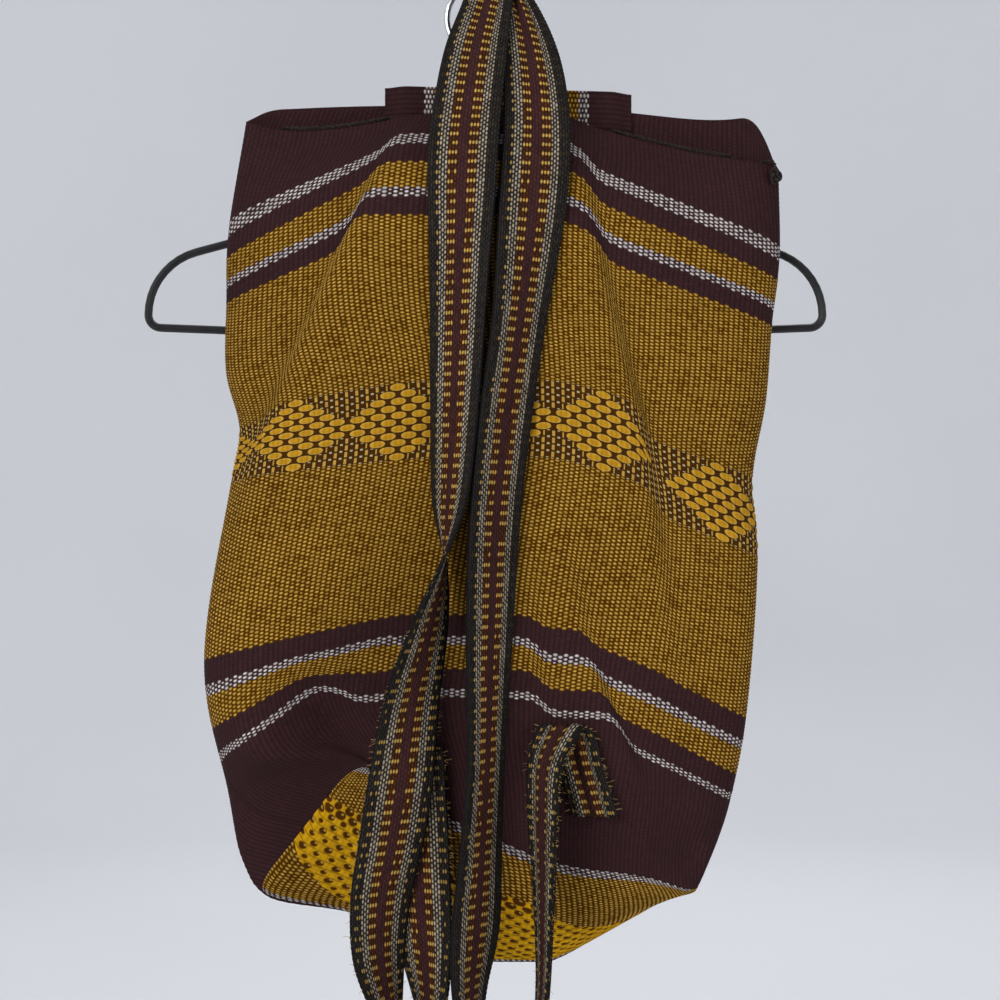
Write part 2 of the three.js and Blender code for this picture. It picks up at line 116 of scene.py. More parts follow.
STRAP_RIGHT = np.array([
    [20, -13.6, -90, 24, 0], [20, -13.8, -75, 24, 0], [14, -17.5, -57, 22, 0], [7, -10, -38, 20, 0],
    [6, -3, -22, 20, 0], [6, 3.2, -10, 20, 0], [6, 4.6, -1, 20, 0], [6, 3.4, 5, 20, 0], [6, 0, 6.8, 20, 0],
    [8, -3.6, 5, 20, 0], [12, -6, -3, 20, 0], [19, -11, -14, 21, 0], [27, -33, -50, 33, 0],
    [30.5, -49, -86, 38, 0], [30, -61, -120, 40, 4], [25.5, -73, -170, 41, 28], [20, -78, -215, 41, 42],
    [11, -78.5, -280, 41, 44], [6, -80, -330, 41, 46], [3, -81, -400, 41, 52], [1, -81, -470, 41, 60],
    [-2, -82, -520, 41, 56], [-5, -83, -565, 41, 50], [-8, -84, -605, 41, 66], [-4, -84, -640, 41, 86],
    [12, -84, -661, 40, 90], [28, -84, -640, 39, 94], [33, -84, -605, 38, 97], [34, -85, -545, 36, 106],
    [33.5, -85, -500, 34, 117], [35, -81, -470, 30, 128], [41, -76.5, -455, 27, 150],
    [46, -72, -449, 26, 172], [51, -68, -455, 26, 172], [55, -68, -470, 26, 166], [64, -67, -502, 27, 166],
], float)
STRAP_WIDTH = 41

# The gathers across a strap where it is drawn narrow
GATHERS = 3
GATHER_DEPTH = 1.3

# The loose ends of yarn on a strap's edges
LOOSE_COUNT = 420
LOOSE_RADIUS = 0.13
LOOSE_REACH = (0.8, 2.6)
LOOSE_SPREAD = 0.55
LOOSE_CURL = 0.5
LOOSE_ROOT = 0.6

# The tab
TAB_WIDTH = 150
TAB_HEIGHT = 24
TAB_MIDDLE_X = 14
TAB_TOP_Z = -69
TAB_TILT = -4
TAB_STAND_OFF = 7.4
TAB_END = 14
TAB_GAP = 0.4

# The drawstring's places along the near rim: around, inward, lift
DRAWSTRING = np.array([
    [0.150, 3.4, -7], [0.168, 3.4, 2.2], [0.187, 0, 1.9], [0.250, 0, 1.8], [0.329, 0, 1.9],
    [0.347, 3.4, 2.2], [0.366, 3.4, -6], [0.490, 3.4, -6], [0.604, 3.4, -6], [0.623, 3.4, 2.2],
    [0.640, 0, 1.9], [0.715, 0, 1.8], [0.787, 0, 1.9], [0.806, 3.4, 2.2], [0.826, 3.4, -6],
    [0.870, 3.4, -6], [0.892, 3.4, 2.4], [0.918, 0, 2.8], [0.935, -4, 2.4], [0.945, -7, -1],
], float)

# Its two twisted strands and the knot at its end
CORD_STEP = 0.7
CORD_TWIST = 5.0
STRAND_RADIUS = 0.66
STRAND_OFFSET = 0.62
KNOT_RADIUS = 1.1
KNOT_DROP = 5.0

# The weave: an end is one upright warp thread and a pick is one passing of the weft
WALL_ENDS = 118
WALL_PICKS = 440
BASE_ENDS = 80
BASE_PICKS = 106
TAB_ENDS = 8
TAB_PICKS = 140
STRAP_PICK = 1.48
CROWN_NARROW = 1.1
CROWN_FLAT = 1.35
CREST = 0.2
FLOAT_CREST = 0.75
STRAP_CREST = 0.14

# The maroon yarn is finer and has this share of the relief
FINE_SHARE = 0.35

# Stripes of the wall from the rim down, as the picks where each begins
WALL_STRIPES = [
    (0, "maroon"), (34, "white"), (42, "maroon"), (52, "mustard"), (66, "white"), (71, "maroon"),
    (81, "mustard"), (308, "maroon"), (320, "white"), (326, "mustard"), (339, "maroon"), (351, "white"),
    (357, "maroon"),
]
BASE_STRIPES = [(0, "white"), (5, "mustard"), (94, "white"), (99, "maroon")]
TAB_STRIPES = [(0, "maroon"), (22, "white"), (28, "mustard"), (109, "white"), (115, "maroon")]

# The wall's brocade is rows of floats, each four ends wide and four picks high, that make up diamonds
WALL_BROCADE = (176, 220)
FLOAT_ENDS = 4
FLOAT_PICKS = 4
FLOAT_HALF_WIDE = 0.40
FLOAT_HALF_TALL = 0.54
FLOAT_ROUND = 2.2
DIAMOND_HALF_ROWS = 5
DIAMOND_SHIFT = 2
DIAMOND_CENTRES = (-2, 18, 38, 58, 78, 106, 126)

# The base's brocade is close floats with rows of small dark gaps. Its left and right ends are slanted.
BASE_BROCADE = (30, 92)
GAP_ENDS = 3
GAP_PICKS = 4
GAP_HALF_WIDE = 0.28
GAP_HALF_TALL = 0.45
BAR_HALF_WIDE = 0.13
BAR_HALF_TALL = 0.2
BAR_RIGHT = 0.3
BAR_UP = 0.7
SLANT_LEFT = 62
SLANT_RIGHT = -45
SLANT_RISE = 1.7


def colour(red, green, blue):
    """A colour from its 8-bit screen values, as the linear values that nodes use."""
    screen = np.array([red, green, blue]) / 255
    linear = np.where(screen <= 0.04045, screen / 12.92, ((screen + 0.055) / 1.055) ** 2.4)
    return (*[float(x) for x in linear], 1.0)


# Each yarn's crown colour, a painted highlight on the top of the yarn, its body and the dark gap beside it
YARNS_WITH_HIGHLIGHTS = {
    "maroon": (colour(50, 29, 31), colour(48, 28, 30), colour(44, 26, 27)),
    "white": (colour(196, 190, 188), colour(132, 123, 121), colour(48, 32, 33)),
    "mustard": (colour(178, 145, 76), colour(125, 91, 18), colour(70, 41, 0)),
}

# The brocade's float at its rim and in its middle, and the dark ground between the floats. On the base the
# rim colour is painted shade in the lines between the rows of floats
WALL_FLOATS = (colour(174, 138, 58), colour(162, 116, 14), colour(58, 33, 5))
BASE_FLOATS_WITH_ROW_SHADE = (colour(140, 100, 10), colour(187, 141, 16), colour(70, 38, 3))
BAR = colour(160, 126, 56)
PALE_DOT = colour(158, 144, 108)


# A smooth value between the rows of a table, with the slope at each row taken from its neighbours
def between(keys, values, along):
    last = len(keys) - 1
    i = np.clip(np.searchsorted(keys, along, side="left") - 1, 0, last - 1)
    before = np.maximum(np.arange(last + 1) - 1, 0)
    after = np.minimum(np.arange(last + 1) + 1, last)
    slope = (values[after] - values[before]) / (keys[after] - keys[before])
    span = keys[i + 1] - keys[i]
    t = (along - keys[i]) / span
    return ((2 * t**3 - 3 * t**2 + 1) * values[i] + (t**3 - 2 * t**2 + t) * span * slope[i]
            + (3 * t**2 - 2 * t**3) * values[i + 1] + (t**3 - t**2) * span * slope[i + 1])


def past(distance):
    """0 before a fold and 1 past it."""
    return 0.5 + 0.5 * np.tanh(distance / PLEAT_SOFTNESS)


def fall(out, flat, power):
    """How far a level has fallen from its middle, 0 there and 1 at the side seam."""
    return np.maximum(0, (out - flat) / (1 - flat)) ** power


def tube(around, down):
    """Points of the cloth tube. Around is 0 at the left seam, 1 at the right seam and 2 at the left again."""
    around, down = np.broadcast_arrays(np.asarray(around, float) % 2.0, np.asarray(down, float))
    level = {name: between(LEVELS[:, 0], LEVELS[:, k], down) for k, name in enumerate(LEVEL_COLUMNS)}
    swing = -np.cos(np.pi * around)
    out = np.abs(swing)
    rounding = np.sqrt(np.maximum(0, 1 - out**SIDE_ROUNDING))
    x = (level["leftX"] + level["rightX"]) / 2 + swing * (level["rightX"] - level["leftX"]) / 2
    left = swing < 0
    seam_z = np.where(left, level["leftZ"], level["rightZ"])
    flat = np.where(left, level["leftFlat"], level["rightFlat"])
    drop = level["nearZ"] - seam_z
    jumped = np.zeros_like(x)
    near_y = level["nearY"].copy()
    for side, rows in FOLDS.values():
        fold = np.array(rows, float)
        fold_x, jump, back = (between(fold[:, 0], fold[:, k], down) for k in (1, 2, 3))
        share = past(side * (x - fold_x))
        mine = side * swing >= 0
        near_y += share * back
        drop -= np.where(mine, jump, 0)
        jumped += np.where(mine, jump * share, 0)
    near_z = level["nearZ"] - drop * fall(out, flat, level["nearPower"]) - jumped
    far_z = level["farZ"] - (level["farZ"] - seam_z) * fall(out, level["farFlat"], level["farPower"])
    near = around <= 1
    y = level["seamY"] + (np.where(near, near_y, level["farY"]) - level["seamY"]) * rounding
    points = np.stack([x, y, np.where(near, near_z, far_z)], axis=-1)
    for at, low, reach_around, reach_down, *pull in PULLS:
        away = (around - at + 3) % 2 - 1
        share = np.exp(-((away / reach_around) ** 2) - ((down - low) / reach_down) ** 2)
        points = points + share[..., None] * np.array(pull)
    return points


def base(across, deep):
    """Points of the base, which hangs between the four edges of the tube's lower end."""
    def edge(around):
        return tube(around, WALL_DOWN)

    def weighed(weight, points):
        return weight[..., None] * points

    span = 1 - 2 * BASE_CORNER
    near = [edge(BASE_CORNER + q * span) for q in (across, 0 * across, 0 * across + 1)]
    far = [edge(2 - BASE_CORNER - q * span) for q in (across, 0 * across, 0 * across + 1)]
    left = edge(BASE_CORNER - 2 * BASE_CORNER * deep)
    right = edge(1 - BASE_CORNER + 2 * BASE_CORNER * deep)
    points = weighed(1 - deep, near[0]) + weighed(deep, far[0])
    points = points + weighed(1 - across, left) + weighed(across, right)
    points -= weighed((1 - across) * (1 - deep), near[1]) + weighed(across * (1 - deep), near[2])
    points -= weighed((1 - across) * deep, far[1]) + weighed(across * deep, far[2])
    points[..., 2] -= BASE_SAG * np.sin(np.pi * deep) * np.sqrt(np.maximum(0, np.sin(np.pi * across)))
    return points


def curve(points, along):
    """A smooth curve through points. Along counts them from 0."""
    padded = np.vstack([2 * points[0] - points[1], points, 2 * points[-1] - points[-2]])
    i = np.clip(np.floor(along).astype(int), 0, len(points) - 2)
    t = (along - i)[:, None]
    p0, p1, p2, p3 = (padded[i + k] for k in range(4))
    d0, d1, d2 = (np.sqrt(np.linalg.norm(b - a, axis=1))[:, None] for a, b in ((p0, p1), (p1, p2), (p2, p3)))
    start = d1 * ((p1 - p0) / d0 - (p2 - p0) / (d0 + d1) + (p2 - p1) / d1)
    end = d1 * ((p2 - p1) / d1 - (p3 - p1) / (d1 + d2) + (p3 - p2) / d2)
    return ((2 * t**3 - 3 * t**2 + 1) * p1 + (t**3 - 2 * t**2 + t) * start
            + (3 * t**2 - 2 * t**3) * p2 + (t**3 - t**2) * end)


def lengths(points):
    """The length along a line of points, from 0."""
    return np.concatenate([[0], np.cumsum(np.linalg.norm(np.diff(points, axis=0), axis=1))])


def normals(grid):
    """Outward unit normals of a grid whose columns run right and rows run down, seen from outside."""
    right = np.gradient(grid, axis=1)
    down = np.gradient(grid, axis=0)
    outward = np.cross(down, right)
    return outward / np.maximum(np.linalg.norm(outward, axis=2, keepdims=True), 1e-9)


# A number in a material's node graph. Arithmetic on it adds nodes.
class Value:
    def __init__(self, tree, socket):
        self.tree = tree
        self.socket = socket

    def node(self, operation, *others):
        made = self.tree.nodes.new("ShaderNodeMath")
        made.operation = operation
        for slot, value in zip(made.inputs, (self, *others)):
            if isinstance(value, Value):
                self.tree.links.new(value.socket, slot)
            else:
                slot.default_value = value
        return Value(self.tree, made.outputs[0])

    def __add__(self, other):
        return self.node("ADD", other)

    def __sub__(self, other):
        return self.node("SUBTRACT", other)

    def __mul__(self, other):
        return self.node("MULTIPLY", other)

    def __truediv__(self, other):
        return self.node("DIVIDE", other)

    def __pow__(self, other):
        return self.node("POWER", other)


def floor(x):
    return x.node("FLOOR") if isinstance(x, Value) else np.floor(x)


def size_of(x):
    return x.node("ABSOLUTE") if isinstance(x, Value) else np.abs(x)


def odd(x):
    """1 for odd whole numbers and 0 for even ones."""
    return x.node("FLOORED_MODULO", 2.0) if isinstance(x, Value) else np.mod(x, 2.0)


def less(x, limit):
    """1 where x is under limit and 0 elsewhere."""
    return x.node("LESS_THAN", limit) if isinstance(x, Value) else (x < limit).astype(float)


def wave(x):
    return x.node("SINE") if isinstance(x, Value) else np.sin(x)


def smaller(a, b):
    return a.node("MINIMUM", b) if isinstance(a, Value) else np.minimum(a, b)


def larger(a, b):
    return a.node("MAXIMUM", b) if isinstance(a, Value) else np.maximum(a, b)


def inside(x, edge, soft):
    """1 well under edge, 0 over it, with a soft step between."""
    t = larger(smaller((x - edge) * (-1.0 / soft), 1.0), 0.0)
    return t * t * (t * -2.0 + 3.0)


def crossing(u, v):
    """The end and pick of the weft crown nearest to a place, and its distance, 1 at the crown's rim."""
    end = floor(u + 0.5)
    shift = odd(end)
    half = (v - shift) * 0.5
    row = floor(half + 0.5)
    away = ((((u - end) * 2.0 * CROWN_NARROW) ** 2.0) + (((half - row) * 2.0 * CROWN_FLAT) ** 2.0)) ** 0.5
    return end, row * 2.0 + shift, away


def brick(u, v, first_pick, ends, picks):
    """The row and place of the nearest brick of a lattice, and the distances from its middle.

    A distance is 0.5 at the brick's edge.
    """
    rows = (v - first_pick) * (1.0 / picks)
    row = floor(rows)
    offset = odd(row) * 0.5
    across = u * (1.0 / ends) - offset
    place = floor(across + 0.5)
    return row, place + offset, size_of(across - place), size_of(rows - row - 0.5)


def within(x, low, high):
    """1 between low and high and 0 elsewhere."""
    return less(x * -1.0, -low) * less(x, high)


def oval(side, rise, half_wide, half_tall):
    """The distance from the middle of an oval, 1 at its rim."""
    return ((side * (1 / half_wide)) ** 2.0 + (rise * (1 / half_tall)) ** 2.0) ** 0.5


def diamonds(u, v):
    """How far a place is in the brocade, a float, a float's middle, a ground bar and a pale ground dot."""
    first_pick, last_pick = WALL_BROCADE
    row, place, side, rise = brick(u + DIAMOND_SHIFT, v, first_pick, FLOAT_ENDS, FLOAT_PICKS)
    shape = (side * (1 / FLOAT_HALF_WIDE)) ** FLOAT_ROUND + (rise * (1 / FLOAT_HALF_TALL)) ** FLOAT_ROUND
    nearest = size_of(place - (DIAMOND_CENTRES[0] + DIAMOND_SHIFT) / FLOAT_ENDS)
    for end in DIAMOND_CENTRES[1:]:
        nearest = smaller(nearest, size_of(place - (end + DIAMOND_SHIFT) / FLOAT_ENDS))
    tall = size_of(row - DIAMOND_HALF_ROWS)
    diamond = less(nearest + tall * 0.5, DIAMOND_HALF_ROWS / 2 + 0.2)
    floats = inside(shape, 1.0, 0.3) * diamond
    end = floor(u + 0.5)
    beside = size_of(u - end)
    uneven = odd(end)
    even = uneven * -1.0 + 1.0
    outside = diamond * -1.0 + 1.0
    bars = outside * even * inside(beside, 0.34, 0.12) * inside(rise, 0.42, 0.1)
    dots = outside * uneven * inside(beside, 0.32, 0.12) * inside(rise * -1.0 + 0.5, 0.17, 0.08)
    return within(v, first_pick, last_pick), floats, inside(shape, 0.7, 0.5), bars, dots


def speckles(u, v):
    """As for the diamonds, with floats all over but for rows of gaps.

    The first rows have larger gaps. Most gaps hold a small bar.
    """
    first_pick, last_pick = BASE_BROCADE
    row, place, side, rise = brick(u, v, first_pick, GAP_ENDS, GAP_PICKS)
    early = inside(v - first_pick, 3.0 * GAP_PICKS, 1.5 * GAP_PICKS) * 0.5
    away = oval(side, rise, GAP_HALF_WIDE, GAP_HALF_TALL)
    luck = wave(row * 2.4 + place * 1.7)
    gap = inside(away - early + luck * 0.16, 1.0, 0.4)
    _, _, beside, above = brick(u - BAR_RIGHT, v + BAR_UP, first_pick, GAP_ENDS, GAP_PICKS)
    bars = inside(oval(beside, above, BAR_HALF_WIDE, BAR_HALF_TALL), 1.0, 0.5) * less(luck, 0.75)
    slant = v - u * SLANT_RISE
    band = within(v, first_pick, last_pick) * within(slant, SLANT_RIGHT, SLANT_LEFT)
    # Its third value falls to 0 at the edges of each row of floats, where the base's rim colour paints shade
    # between the rows
    return band, gap * -1.0 + 1.0, inside(rise, 0.47, 0.16), bars * gap, gap * 0.0


# A material's nodes
class Graph:
    def __init__(self, name):
        self.material = bpy.data.materials.new(name)
        self.material.use_nodes = True
        self.tree = self.material.node_tree
        self.surface = self.tree.nodes["Principled BSDF"]

    def new(self, kind, **settings):
        made = self.tree.nodes.new(kind)
        for name, value in settings.items():
            setattr(made, name, value)
        return made

    def link(self, source, target):
        self.tree.links.new(source, target)

    def weave_place(self):
        """The ends and picks at a place of the cloth."""
        uv = self.new("ShaderNodeUVMap", uv_map="Weave")
        parts = self.new("ShaderNodeSeparateXYZ")
        self.link(uv.outputs["UV"], parts.inputs[0])
        return Value(self.tree, parts.outputs[0]), Value(self.tree, parts.outputs[1])

    def vector(self, x, y):
        made = self.new("ShaderNodeCombineXYZ")
        self.link(x.socket, made.inputs[0])
        self.link(y.socket, made.inputs[1])
        return made.outputs[0]

    def chance(self, x, y):
        """A different number from 0 to 1 for each whole x and y."""
        made = self.new("ShaderNodeTexWhiteNoise", noise_dimensions="2D")
        self.link(self.vector(x, y), made.inputs["Vector"])
        return Value(self.tree, made.outputs["Value"])

    def noise(self, x, y, scale=1.0, detail=2.0):
        made = self.new("ShaderNodeTexNoise", noise_dimensions="2D")
        made.inputs["Scale"].default_value = scale
        made.inputs["Detail"].default_value = detail
        self.link(self.vector(x, y), made.inputs["Vector"])
        return Value(self.tree, made.outputs[0])

    def body_noise(self, scale, detail=3.0):
        """Noise over the object itself."""
        place = self.new("ShaderNodeTexCoord")
        made = self.new("ShaderNodeTexNoise")
        made.inputs["Scale"].default_value = scale
        made.inputs["Detail"].default_value = detail
        self.link(place.outputs["Object"], made.inputs["Vector"])
        return Value(self.tree, made.outputs[0])

    def steps(self, share, stops):
        """A colour that changes in steps along share, from 0 to 1."""
        made = self.new("ShaderNodeValToRGB")
        made.color_ramp.interpolation = "CONSTANT"
        elements = made.color_ramp.elements
        while len(elements) > 1:
            elements.remove(elements[-1])
        elements[0].position = stops[0][0]
        elements[0].color = stops[0][1]
        for position, tint in stops[1:]:
            elements.new(position).color = tint
        self.link(share.socket, made.inputs[0])
        return made.outputs["Color"]

    def mix(self, share, first, second):
        made = self.new("ShaderNodeMix", data_type="RGBA")
        self.link(share.socket, made.inputs[0])
        for slot, value in ((made.inputs[6], first), (made.inputs[7], second)):
            if isinstance(value, tuple):
                slot.default_value = value
            else:
                self.link(value, slot)
        return made.outputs[2]

    def shade(self, colour_socket, amount):
        """A colour made lighter or darker by amount."""
        made = self.new("ShaderNodeVectorMath", operation="SCALE")
        self.link(colour_socket, made.inputs[0])
        self.link(amount.socket, made.inputs["Scale"])
        return made.outputs[0]

    def finish(self, colour_socket, height, distance, roughness, metallic=0.0, shine=0.06):
        bump = self.new("ShaderNodeBump")
        bump.inputs["Distance"].default_value = distance
        bump.inputs["Strength"].default_value = 0.6
        self.link(height.socket, bump.inputs["Height"])
        self.link(bump.outputs[0], self.surface.inputs["Normal"])
        self.link(colour_socket, self.surface.inputs["Base Color"])
        self.link(roughness.socket, self.surface.inputs["Roughness"])
        self.surface.inputs["Specular IOR Level"].default_value = shine
        self.surface.inputs["Metallic"].default_value = metallic
        return self.material


def cloth_material(name, picks, stripes, pattern=None, float_yarns=None):
    """Weft-faced cloth: crowns of the weft's yarn in a brick lattice, in stripes, with a band of brocade."""
    graph = Graph(name)
    u, v = graph.weave_place()
    end, pick, away = crossing(u, v)
    share = pick * (1 / picks)

    def by_stripe(tint_of):
        return graph.steps(share, [(start / picks, tint_of(yarn)) for start, yarn in stripes])

    crown, body, gap = (by_stripe(lambda yarn: YARNS_WITH_HIGHLIGHTS[yarn][part]) for part in range(3))

    # Each crown has its own size, and in some runs they are thin, so that the dark ground shows
    luck = graph.chance(end, pick)
    streak = graph.noise(end * 0.16, pick * 0.8)
    thin = inside(streak * -1.0, -0.55, 0.1)
    reach = away / (luck * -0.2 - thin * 0.34 + 1.14)
    tint = graph.mix(inside(reach, 1.08, 0.3), gap, body)
    # The crown colour paints a highlight on the top of each crown
    tint = graph.mix(inside(reach, 0.86, 0.55) * (luck * 0.5 + 0.5), tint, crown)

    # The maroon yarn lies flatter. Painted shade darkens the grooves between ends, most on the maroon yarn
    fine_and_full = (FINE_SHARE, FINE_SHARE, FINE_SHARE, 1.0), (1.0, 1.0, 1.0, 1.0)
    standing = Value(graph.tree, by_stripe(lambda yarn: fine_and_full[yarn != "maroon"]))
    height = inside(reach, 1.1, 1.0) * standing
    groove_shade_depth = standing * -0.2 + 0.37
    groove_shade = groove_shade_depth * (inside(size_of(u - end), 0.48, 0.3) - 1.0) + 1.0
    if pattern:
        band, floats, middles, bars, dots = pattern(u, v)
        rim, middle, dark = float_yarns
        ply = wave(v * 9.0) * 0.5 + 0.5
        ground = graph.mix(bars, dark, BAR)
        ground = graph.mix(dots, ground, PALE_DOT)
        # Floats go from the rim colour to the middle colour; on the base the rim colour is painted shade
        # between the rows of floats
        thread = graph.mix(middles * 0.8 + ply * 0.2, rim, middle)
        brocade = graph.mix(floats, ground, thread)
        tint = graph.mix(band, tint, brocade)
        height = height + band * (larger(floats, bars * 0.6) - height)
    broad = graph.noise(u * 0.05, v * 0.02, detail=3.0)
    tint = graph.shade(tint, (luck * 0.22 + broad * 0.3 + 0.76) * groove_shade)
    return graph.finish(tint, height, 0.0006, luck * 0.1 + 0.85)


# Columns of a strap from one edge to the other: the yarn, how many ends and how wide each end is.
# Dashes also show in the ticks, and in the fringe of a strap's lower part.
STRAP_COLUMNS = [
    ("black", 1, 1.6), ("fringe", 2, 1.6), ("ticks", 1, 1.6), ("white", 3, 1.8), ("dashes", 3, 1.85),
    ("maroon", 3, 2.0), ("dashes", 3, 1.85), ("white", 3, 1.8), ("fringe", 3, 1.6), ("black", 1, 1.6),
]
STRAP_ENDS = sum(ends for _, ends, _ in STRAP_COLUMNS)
# Each yarn's crown colour, a painted highlight on the top of the yarn, its body and the dark gap beside it
STRAP_YARNS_WITH_HIGHLIGHTS = {
    "black": (colour(46, 43, 41), colour(36, 33, 31), colour(22, 20, 19)),
    "fringe": (colour(44, 40, 37), colour(35, 31, 29), colour(22, 20, 18)),
    "ticks": (colour(44, 40, 37), colour(35, 31, 29), colour(22, 20, 18)),
    "white": (colour(161, 153, 136), colour(106, 97, 83), colour(34, 27, 24)),
    "dashes": (colour(78, 42, 22), colour(64, 34, 18), colour(42, 22, 12)),
    "maroon": (colour(66, 36, 35), colour(57, 32, 31), colour(45, 26, 26)),
}
DASH = colour(169, 135, 66)
DASH_PICKS = 4.0


def strap_steps(graph, share, tint_of):
    """A colour for each column of a strap."""
    stops = []
    end = 0
    for yarn, ends, _ in STRAP_COLUMNS:
        stops.append((end / STRAP_ENDS, tint_of(yarn)))
        end += ends
    return graph.steps(share, stops)


def strap_material(name, fringe_from):
    """Warp-faced band: the warp's crowns lie along the band in columns of one yarn each.

    From the pick fringe_from on, the dashes also show in the dark edges.
    """
    graph = Graph(name)
    u, v = graph.weave_place()
    end = floor(u)
    middle = size_of(u - end - 0.5) * 2.0
    shift = odd(end)
    half = (v - shift) * 0.5
    row = floor(half + 0.5)
    along = size_of(half - row) * 2.0
    share = (end + 0.5) * (1 / STRAP_ENDS)
    thickness = graph.chance(end * 3.0, row) * 0.45 + 1.0
    away = ((middle * 1.1 * thickness) ** 2.0 + (along * 0.92 * thickness) ** 2.0) ** 0.5
    crown, body, gap = (strap_steps(graph, share, lambda yarn: STRAP_YARNS_WITH_HIGHLIGHTS[yarn][part]) for part in range(3))
    luck = graph.chance(end, row)
    tint = graph.mix(inside(away, 1.06, 0.25), gap, body)
    # The crown colour paints a highlight on the top of each crown
    tint = graph.mix(inside(away, 0.9, 0.6) * (luck * 0.4 + 0.6), tint, crown)

    # Dashes lie on each fourth pick, most of them in the dashed columns
    no_and_yes = (0.0, 0.0, 0.0, 1.0), (1.0, 1.0, 1.0, 1.0)
    dashed = strap_steps(graph, share, lambda yarn: no_and_yes[yarn == "dashes"])
    ticked = strap_steps(graph, share, lambda yarn: no_and_yes[yarn == "ticks"])
    fringed = strap_steps(graph, share, lambda yarn: no_and_yes[yarn in ("fringe", "ticks")])
    beat = v * (1 / DASH_PICKS)
    dash_row = floor(beat + 0.5)
    near_dash = size_of(beat - dash_row) * DASH_PICKS
    dash_luck = graph.chance(end, dash_row)
    dash = inside(((middle * 1.12) ** 2.0 + (near_dash * 1.05) ** 2.0) ** 0.5, 1.0, 0.35)
    often = less(dash_luck, 0.92)
    seldom = less(dash_luck, 0.6) * (inside(v * -1.0, -fringe_from, 40.0) * 0.6 + 0.04)
    ticks = less(dash_luck, 0.7) * 0.75
    dashes = dash * (Value(graph.tree, dashed) * often + Value(graph.tree, ticked) * ticks
                     + Value(graph.tree, fringed) * seldom)
    tint = graph.mix(smaller(dashes, 1.0), tint, DASH)
    broad = graph.noise(u * 0.2, v * 0.03, detail=3.0)
    tint = graph.shade(tint, luck * 0.25 + broad * 0.3 + 0.72)
    height = larger(inside(away, 1.1, 1.0), dashes)
    return graph.finish(tint, height, 0.0005, luck * 0.1 + 0.82)


def plain_material(name, dark, light, scale, roughness, metallic=0.0, distance=0.0002, shine=0.3):
    """One colour with soft mottling."""
    graph = Graph(name)
    cloud = graph.body_noise(scale)
    tint = graph.mix(inside(cloud, 0.7, 0.4), light, dark)
    grain = graph.body_noise(scale * 6)
    return graph.finish(tint, grain, distance, cloud * 0.16 + roughness, metallic, shine)


def closed_wall(name, outer, inner, ends, picks, material):
    """A thin closed mesh. Outer has a row for each pick, and inner one for each second pick."""
    rows, columns, _ = outer.shape
    inner_rows = inner.shape[0]
    o = np.arange(rows * columns).reshape(rows, columns)
    i = rows * columns + np.arange(inner_rows * columns).reshape(inner_rows, columns)

    def quads(grid):
        return np.stack([grid[:-1, :-1], grid[1:, :-1], grid[1:, 1:], grid[:-1, 1:]], axis=-1).reshape(-1, 4)

    even = o[::2]
    uneven = o[1::2]
    top = [o[0, :-1], o[0, 1:], i[0, 1:], i[0, :-1]]
    bottom = [o[-1, 1:], o[-1, :-1], i[-1, :-1], i[-1, 1:]]
    left = [even[1:, 0], uneven[:, 0], even[:-1, 0], i[:-1, 0], i[1:, 0]]
    right = [even[:-1, -1], uneven[:, -1], even[1:, -1], i[1:, -1], i[:-1, -1]]
    faces = quads(o).tolist()
    faces += quads(i)[:, ::-1].tolist()
    for rim in (top, bottom, left, right):
        faces += np.stack(rim, axis=-1).tolist()
    points = np.concatenate([outer.reshape(-1, 3), inner.reshape(-1, 3)]) * MM
    mesh = bpy.data.meshes.new(name)
    mesh.from_pydata(points.tolist(), [], faces)
    weave = np.concatenate([grid_places(count, columns, ends, picks) for count in (rows, inner_rows)])
    loops = np.zeros(len(mesh.loops), int)
    mesh.loops.foreach_get("vertex_index", loops)
    layer = mesh.uv_layers.new(name="Weave")
    layer.data.foreach_set("uv", weave[loops].astype(np.float32).ravel())
    mesh.shade_smooth()
    return dressed(name, mesh, material)


def grid_places(rows, columns, ends, picks):
    """The end and pick at each vertex of a grid."""
    pick, end = np.meshgrid(np.linspace(0, picks, rows), np.linspace(0, ends, columns), indexing="ij")
    return np.stack([end, pick], axis=-1).reshape(-1, 2)


def ring_faces(index):
    """The faces between rows of vertices that each close to a ring."""
    following = np.roll(index, -1, axis=1)
    return np.stack([index[:-1], following[:-1], following[1:], index[1:]], axis=-1).reshape(-1, 4).tolist()


def dressed(name, mesh, material):
    """An object with that mesh and material, on the part's one body."""
    made = bpy.data.objects.new(name, mesh)
    bpy.context.scene.collection.objects.link(made)
    mesh.materials.append(material)
    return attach(made, "root")


def crowns(ends, picks, crest=CREST):
    """Ends, picks and the plain weave's relief, with a crown where end and pick are both odd or both even."""
    pick, end = np.meshgrid(np.arange(picks + 1), np.arange(ends + 1), indexing="ij")
    return end.astype(float), pick.astype(float), np.where((pick + end) % 2 == 0, crest, -crest)


def brocaded(ends, picks, stripes, pattern):
    """Relief of cloth in stripes with a band of brocade."""
    end, pick, relief = crowns(ends, picks)
    starts = [start for start, _ in stripes]
    yarns = [stripes[k][1] for k in np.searchsorted(starts, pick[:, 0], side="right") - 1]
    relief *= np.array([FINE_SHARE if yarn == "maroon" else 1.0 for yarn in yarns])[:, None]
    band, floats, _, bars, _ = pattern(end, pick + 0.01)
    return np.where(band > 0, floats * FLOAT_CREST + bars * CREST - CREST, relief)


def wall_of(name, surface, relief, ends, picks, material, thickness=CLOTH):
    """A cloth wall about a grid of middle points, with relief on its outer face."""
    out = normals(surface)
    outer = surface + out * (thickness / 2 + relief)[..., None]
    inner = (surface - out * thickness / 2)[::2]
    return closed_wall(name, outer, inner, ends, picks, material)


